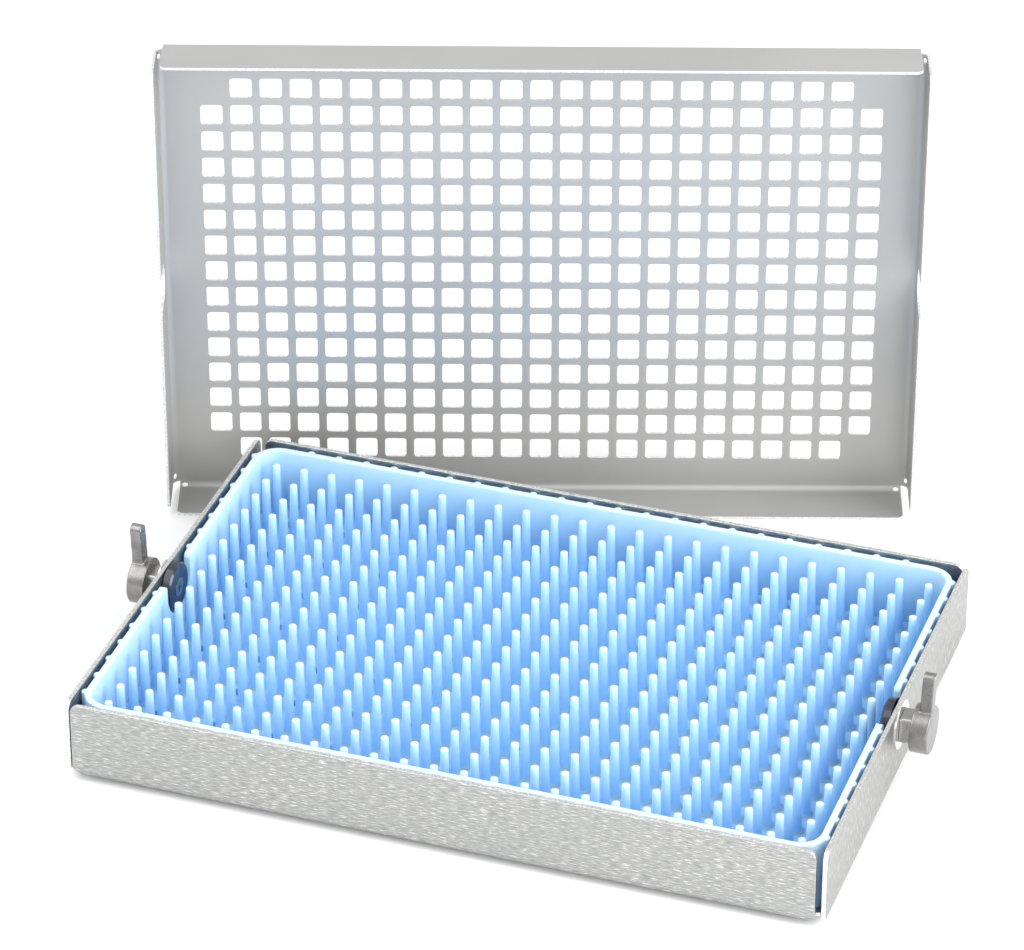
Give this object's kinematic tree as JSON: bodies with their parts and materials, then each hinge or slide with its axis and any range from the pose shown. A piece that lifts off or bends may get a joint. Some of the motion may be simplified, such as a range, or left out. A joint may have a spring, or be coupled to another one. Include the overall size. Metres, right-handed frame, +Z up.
{
  "type": "instrument tray",
  "caption": "Shallow rectangular sterilising tray with a finger mat inside, a loose perforated lid standing behind it and a turn latch on each short wall.",
  "frame": {"origin": "centre of the tray floor's underside", "axes": "+X along the tray, +Y to the back, towards the standing lid, +Z up; the feet reach 1.6 mm below the origin"},
  "size_m": [0.296, 0.2527, 0.1742],
  "materials": {
    "brushed_aluminium": "strongly brushed along the walls",
    "satin_aluminium": "smooth satin anodised",
    "blue_silicone": "matt translucent silicone",
    "cast_steel": "satin casting",
    "machined_steel": "machined",
    "white_nylon": "smooth",
    "dark_plastic": "glossy"
  },
  "bodies": {
    "tray": {"base_tray": "brushed_aluminium", "silicone_mat": "blue_silicone", "mat_fingers": "blue_silicone", "left_outer_washer": "white_nylon", "left_bush": "white_nylon", "left_spring_washer": "machined_steel", "right_outer_washer": "white_nylon", "right_bush": "white_nylon", "right_spring_washer": "machined_steel"},
    "lid": {"lid": "satin_aluminium"},
    "left_latch": {"left_lever": "cast_steel", "left_hub": "machined_steel", "left_retaining_disc": "dark_plastic", "left_screw": "machined_steel"},
    "right_latch": {"right_lever": "cast_steel", "right_hub": "machined_steel", "right_retaining_disc": "dark_plastic", "right_screw": "machined_steel"}
  },
  "joints": [
    {"name": "left_latch_turn", "type": "hinge", "parent": "tray", "child": "left_latch", "pos_m": [-0.126, 0, 0.0198], "axis": [-1, 0, 0], "range_deg": [-90, 90]},
    {"name": "right_latch_turn", "type": "hinge", "parent": "tray", "child": "right_latch", "pos_m": [0.126, 0, 0.0198], "axis": [1, 0, 0], "range_deg": [-90, 90]},
    {"name": "lid_slide", "type": "slide", "parent": "tray", "child": "lid", "axis": [-0.3107, 0.9505, 0], "range_m": [0, 0.15]}
  ]
}
